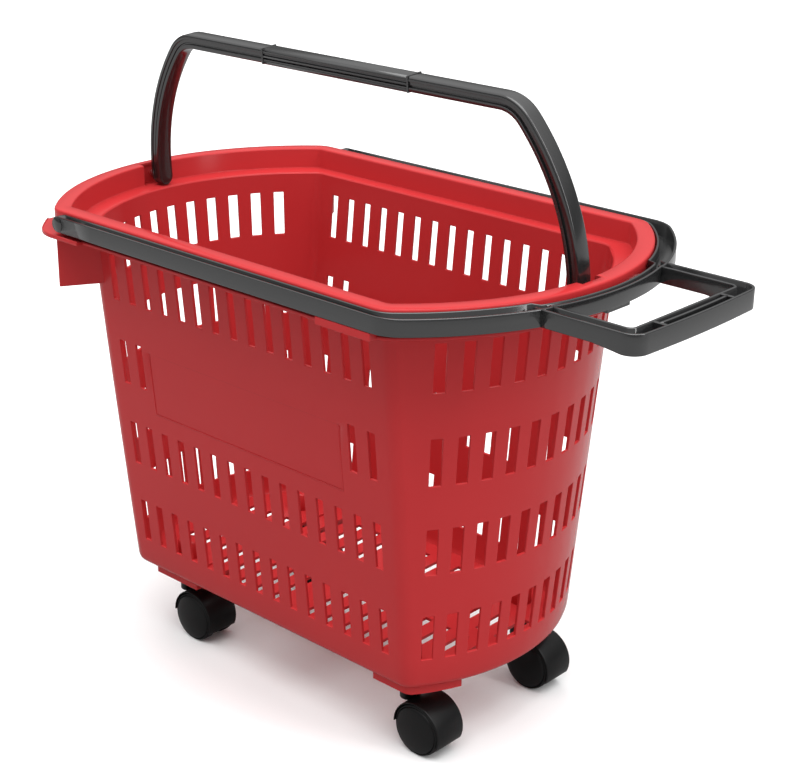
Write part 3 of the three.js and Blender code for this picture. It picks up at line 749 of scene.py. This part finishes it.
def pull_edges():
    """Inner and outer edge points of the frame, from the hinge on one side to the other."""
    pull = {"length": RIM["length"] + PULL_GROW, "width": RIM["width"] + PULL_SIDE_GROW}
    pull.update({"bow": RIM["bow"] + PULL_GROW, "corner": PULL_CORNER})
    bow, corner, bow_x, corner_x, corner_y, turn = centres(pull)
    i_bow, i_corner, i_bow_x, i_corner_x, i_corner_y, i_turn = centres(RIM, PULL_GAP)
    half = []
    for i in range(41):
        share = i / 40
        outer_y = bow * math.sin(turn * share)
        inner_y = i_bow * math.sin(i_turn * share)
        wide = blend_step(inner_y, CROSS["half_width"] - 1, CROSS["half_width"] + 3)
        inner_r = i_bow + (1 - wide) * (CROSS["grow"] - PULL_GAP)
        narrow = 1 - blend_step(outer_y, CROSS["half_width"] - 3, CROSS["half_width"] + 4)
        outer_r = bow - narrow * (PULL_GROW - CROSS["grow"] - CROSS["thickness"])
        inner = (i_bow_x + inner_r * math.cos(i_turn * share), inner_r * math.sin(i_turn * share))
        outer = (bow_x + outer_r * math.cos(turn * share), outer_r * math.sin(turn * share))
        half.append((inner, outer))
    for i in range(1, 13):
        share = i / 12
        a = turn + (math.pi / 2 - turn) * share
        b = i_turn + (math.pi / 2 - i_turn) * share
        outer = (corner_x + corner * math.cos(a), corner_y + corner * math.sin(a))
        inner = (i_corner_x + i_corner * math.cos(b), i_corner_y + i_corner * math.sin(b))
        half.append((inner, outer))
    for i in range(1, 9):
        share = i / 8
        inner = (i_corner_x + (PULL_START - i_corner_x) * share, i_corner_y + i_corner)
        outer = (corner_x + (PULL_START - corner_x) * share, corner_y + corner)
        half.append((inner, outer))
    other = [((ix, -iy), (ox, -oy)) for (ix, iy), (ox, oy) in half[1:]]
    return list(reversed(other)) + half


def channel_section(bottom, wall=2.4):
    """The bar's section as (edge, distance from it, z): 0 is the inner edge and 1 the outer."""
    top, sunk = PULL_Z["top"], CHANNEL_FLOOR
    inner = [(0, 0.9, bottom), (0, 0.25, bottom + 0.25), (0, 0, bottom + 0.9), (0, 0, top - 0.8)]
    inner += [(0, 0.25, top - 0.2), (0, 0.8, top), (0, wall - 0.6, top), (0, wall, top - 0.6)]
    inner += [(0, wall + 0.2, sunk + 0.5), (0, wall + 0.7, sunk)]
    return inner + [(1, distance, z) for _, distance, z in reversed(inner)]


def strip(name, edges, bottoms, section=channel_section):
    """A bar of the pull handle, from its edge points in plan and its section."""
    rings = []
    for ((ix, iy), (ox, oy)), bottom in zip(edges, bottoms):
        across = Vector((ox - ix, oy - iy, 0)).normalized()
        ring = []
        for edge, distance, z in section(bottom):
            base = Vector((ix, iy, 0)) + across * distance
            if edge:
                base = Vector((ox, oy, 0)) - across * distance
            ring.append((base.x, base.y, z))
        rings.append(ring)
    vertices, faces = skin(rings, caps=True)
    return make(name, vertices, faces, GREY, "pull_handle")


def grip_end(y):
    """The slightly bowed outer edge of the grip."""
    return LOOP["end"] - LOOP["bow"] * (y / LOOP["half_width"]) ** 2


def loop_edges():
    """Inner and outer edges of the grip loop, from one junction round the grip to the other."""
    corner, inner_corner = LOOP["corner"], LOOP["open_corner"]
    half = []
    for i in range(7):
        inner_y = (LOOP["open_half"] - inner_corner) * i / 7
        outer_y = (LOOP["half_width"] - corner) * i / 7
        half.append(((LOOP["open_end"], inner_y), (grip_end(outer_y), outer_y)))
    for i in range(9):
        a = math.pi / 2 * i / 8
        inner = (LOOP["open_end"] - inner_corner * (1 - math.cos(a)),
                 LOOP["open_half"] - inner_corner * (1 - math.sin(a)))
        outer = (LOOP["corner_end"] - corner * (1 - math.cos(a)),
                 LOOP["half_width"] - corner * (1 - math.sin(a)))
        half.append((inner, outer))
    for i in range(1, 7):
        share = i / 6
        inner_x = LOOP["open_end"] - inner_corner - LOOP["open_arm"] * share
        outer_x = LOOP["corner_end"] - corner - LOOP["arm"] * share
        half.append(((inner_x, LOOP["open_half"]), (outer_x, LOOP["half_width"])))
    other = [((ix, -iy), (ox, -oy)) for (ix, iy), (ox, oy) in half[1:]]
    return list(reversed(other)) + half


def grip_section(bottom):
    """As the channel, with its top a hair lower, where the two meet."""
    hair = 0.06
    section = channel_section(bottom, 2.6)
    return [(edge, distance, z - hair if z > bottom + 5 else z) for edge, distance, z in section]


def rib_section(bottom):
    """A thin wall along the middle of the channel."""
    top = PULL_Z["top"] - 0.3
    side = [(0, 0, bottom + 3), (0, 0, top - 0.5), (0, 0.15, top - 0.15), (0, 0.5, top)]
    return side + [(1, distance, z) for _, distance, z in reversed(side)]


def pull_handle():
    edges = pull_edges()
    frame_bar = strip("pull_frame", edges, [PULL_Z["bottom"]] * len(edges))
    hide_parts("pull_handle_frame")
    edges = loop_edges()
    drop = PULL_Z["bottom"] - PULL_Z["grip_bottom"]
    bottoms = []
    for _, (x, _) in edges:
        dropped = drop * blend_step(x, GRIP_DROP["from"], GRIP_DROP["to"])
        bottoms.append(PULL_Z["bottom"] - 0.1 - dropped)
    strip("pull_grip", edges, bottoms, grip_section)
    ribs = []
    for y in range(-GRIP_RIB["half_length"], GRIP_RIB["half_length"] + 1, 5):
        x = grip_end(y)
        ribs.append(((x - GRIP_RIB["from"], y), (x - GRIP_RIB["to"], y)))
    strip("grip_rib", ribs, [PULL_Z["bottom"]] * len(ribs), rib_section)
    (x0, x1), reach = TAB["x"], TAB["half_width"]
    low, high = (x0, -reach, PULL_Z["grip_bottom"]), (x1, reach, PULL_Z["bottom"] + 1)
    bar("grip_tab", low, high, GREY, "pull_handle", 0.7)
    (x0, x1), half_web = GRIP_WEB["x"], GRIP_WEB["half_thickness"]
    for y in (-GRIP_RIB["half_length"], GRIP_RIB["half_length"]):
        name = f"grip_web_{'left' if y > 0 else 'right'}"
        low, high = (x0, y - half_web, GRIP_WEB["bottom"]), (x1, y + half_web, GRIP_WEB["top"])
        bar(name, low, high, GREY, "pull_handle", 0.5)
    radius = (PULL_Z["top"] - PULL_Z["bottom"]) / 2
    inner = RIM["width"] + PULL_GAP
    reach = PULL_SIDE_GROW - PULL_GAP + 0.15
    for side, name in ((1, "left"), (-1, "right")):
        profile = [(0, 0.3), (radius - 0.8, 0.3), (radius, 1.1)]
        profile += [(radius, reach - 0.9), (radius - 0.9, reach), (0, reach)]
        centre = (PULL_START, side * inner, HINGE_Z)
        turned(f"hinge_eye_{name}", profile, centre, Vector((0, side, 0)), GREY, "pull_handle")


# ------------------------------------------------------------------ casters
def arc_shell(name, axle, body):
    """The hood over both wheels: an arched strip with rounded edges, about the axle."""
    outer, inner, half_width = HOOD["outer"], HOOD["inner"], HOOD["half_width"]
    edge = [(outer, -1.5), (outer - 0.35, -0.45), (outer - 0.8, 0)]
    edge += [(inner + 0.1, -0.2), (inner, -0.9)]
    section = [(radius, -(half_width + back)) for radius, back in edge]
    section += [(radius, half_width + back) for radius, back in reversed(edge)]
    steps = 40
    rings = []
    for i in range(steps + 1):
        angle = HOOD["low"] + (math.pi - HOOD["low"]) * i / steps
        spoke = Vector((math.cos(angle), 0, math.sin(angle)))
        rings.append([axle + spoke * radius + Vector((0, y, 0)) for radius, y in section])
    vertices, faces = skin(rings, caps=True)
    return make(name, vertices, faces, BLACK, body)


def hood_web(name, axle, body):
    """The plate between the wheels that carries the axle."""
    radius = HOOD["outer"] - 0.9
    points = []
    for i in range(25):
        angle = HOOD["low"] + (math.pi - HOOD["low"]) * i / 24
        points.append((radius * math.cos(angle), radius * math.sin(angle)))
    points += [(-radius, -4), (-8, -9), (8, -11)]
    reach = HOOD["web_half_width"]
    rings = [[(axle.x + x, axle.y + y, axle.z + z) for x, z in points] for y in (-reach, reach)]
    vertices, faces = skin(rings, caps=True)
    return rounded(make(name, vertices, faces, BLACK, body), 0.6, 3)


def caster(name):
    """A twin-wheel caster: the hood, its web and boss, and a tread and a cap on each side."""
    body = f"caster_{name}"
    stem = joint_place(f"swivel_{name}")
    stem.z = 0
    axle = joint_place(f"roll_{name}_left")
    axle.y = stem.y
    hood = arc_shell(f"hood_{name}", axle, body)
    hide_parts(f"caster_hood_{name}")
    hood_web(f"hood_web_{name}", axle, body)
    turned(f"hood_boss_{name}", HOOD_BOSS, stem, Vector((0, 0, 1)), BLACK, body, 48)
    for side, place in ((1, "left"), (-1, "right")):
        wheel_body = f"wheel_{name}_{place}"
        out = Vector((0, side, 0))
        wheel = turned(f"tread_{name}_{place}", TREAD, axle, out, RUBBER, wheel_body)
        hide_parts(f"wheel_{name}_{place}")
        cap = turned(f"disc_{name}_{place}", DISC, axle, out, BLACK, wheel_body)
        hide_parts(f"wheel_cap_{name}_{place}")


def carried_over():
    """CAD pins, stems and axles that stay in view get a zinc finish."""
    for name, shown in frame["nodes"].items():
        if any(word in name for word in ("pin", "stem", "axle")):
            shown.data.materials.clear()
            shown.data.materials.append(ZINC)


# ------------------------------------------------------------------ stage, light and camera
def stage_floor():
    """A white floor, kept dimmer in what it reflects than in what the camera sees of it."""
    size = 40
    mesh = bpy.data.meshes.new("studio_floor")
    corners = [(-size, -size, 0), (size, -size, 0), (size, size, 0), (-size, size, 0)]
    mesh.from_pydata(corners, [], [(0, 1, 2, 3)])
    material, tree, surface = shader("studio_floor", (0.9, 0.9, 0.9), 0.9)
    path = node(tree, "ShaderNodeLightPath")
    tone = node(tree, "ShaderNodeMapRange")
    tone.inputs["To Min"].default_value = 0.4
    tone.inputs["To Max"].default_value = 0.93
    tree.links.new(path.outputs["Is Camera Ray"], tone.inputs["Value"])
    tree.links.new(tone.outputs["Result"], surface.inputs["Base Color"])
    mesh.materials.append(material)
    floor = bpy.data.objects.new("studio_floor", mesh)
    bpy.context.scene.collection.objects.link(floor)


def area_light(name, place, target, size, power):
    data = bpy.data.lights.new(name, "AREA")
    data.shape = "RECTANGLE"
    data.size, data.size_y = size
    data.energy = power
    light = bpy.data.objects.new(name, data)
    light.location = place
    light.rotation_euler = (Vector(target) - Vector(place)).to_track_quat("-Z", "Y").to_euler()
    bpy.context.scene.collection.objects.link(light)


def lights():
    """A white studio, brighter overhead, with a soft sun, a strip light and a side panel."""
    world = bpy.data.worlds.new("studio")
    world.use_nodes = True
    tree = world.node_tree
    place = node(tree, "ShaderNodeTexCoord")
    split = node(tree, "ShaderNodeSeparateXYZ")
    height = node(tree, "ShaderNodeMapRange")
    height.inputs["From Min"].default_value = 0.15
    height.inputs["From Max"].default_value = 0.95
    height.inputs["To Min"].default_value = 0.2
    height.inputs["To Max"].default_value = 1.5
    tree.links.new(place.outputs["Generated"], split.inputs["Vector"])
    tree.links.new(split.outputs["Z"], height.inputs["Value"])
    path = node(tree, "ShaderNodeLightPath")
    white = node(tree, "ShaderNodeMath", operation="MAXIMUM")
    tree.links.new(height.outputs["Result"], white.inputs[0])
    tree.links.new(path.outputs["Is Camera Ray"], white.inputs[1])
    tree.links.new(white.outputs["Value"], tree.nodes["Background"].inputs["Strength"])
    tree.nodes["Background"].inputs["Color"].default_value = (1, 1, 1, 1)
    bpy.context.scene.world = world
    bpy.context.scene.view_settings.view_transform = "Standard"
    data = bpy.data.lights.new("overhead", "SUN")
    data.energy = 2.3
    data.angle = math.radians(60)
    sun = bpy.data.objects.new("overhead", data)
    sun.rotation_euler = (math.radians(8), math.radians(8), 0)
    bpy.context.scene.collection.objects.link(sun)
    area_light("strip", (1.7, 0.3, 1.3), (0, 0, 0.4), (0.3, 1.6), 9)
    area_light("left", (-1.2, -0.9, 1.6), (0, 0, 0.4), (1.0, 1.2), 1.5)


def camera():
    """A long lens from the front right, a little above the rim."""
    data = bpy.data.cameras.new("camera")
    data.sensor_width = 36
    data.lens = 77.0
    azimuth, elevation, roll = math.radians(42.178), math.radians(21.538), math.radians(0.757)
    distance = 1557.7 * MM
    target = placed((34.0, 32.0, 265.4))
    level = math.cos(elevation)
    back = Vector((math.sin(azimuth) * level, -math.cos(azimuth) * level, math.sin(elevation)))
    right = Vector((math.cos(azimuth), math.sin(azimuth), 0))
    up = back.cross(right)
    rolled_right = right * math.cos(roll) + up * math.sin(roll)
    rolled_up = up * math.cos(roll) - right * math.sin(roll)
    shot = bpy.data.objects.new("camera", data)
    turn = Matrix((rolled_right, rolled_up, back)).transposed().to_4x4()
    shot.matrix_world = Matrix.Translation(target + back * distance) @ turn
    bpy.context.scene.collection.objects.link(shot)
    bpy.context.scene.camera = shot


camera()
lights()
stage_floor()
basket_wall()
label_bead(1)
label_bead(-1)
basket_floor()
basket_rim()
rim_details()
caster_blocks()
carry_handle()
grip_sleeve()
pull_handle()
for corner_name in CORNERS:
    caster(corner_name)
carried_over()

bpy.context.view_layer.update()
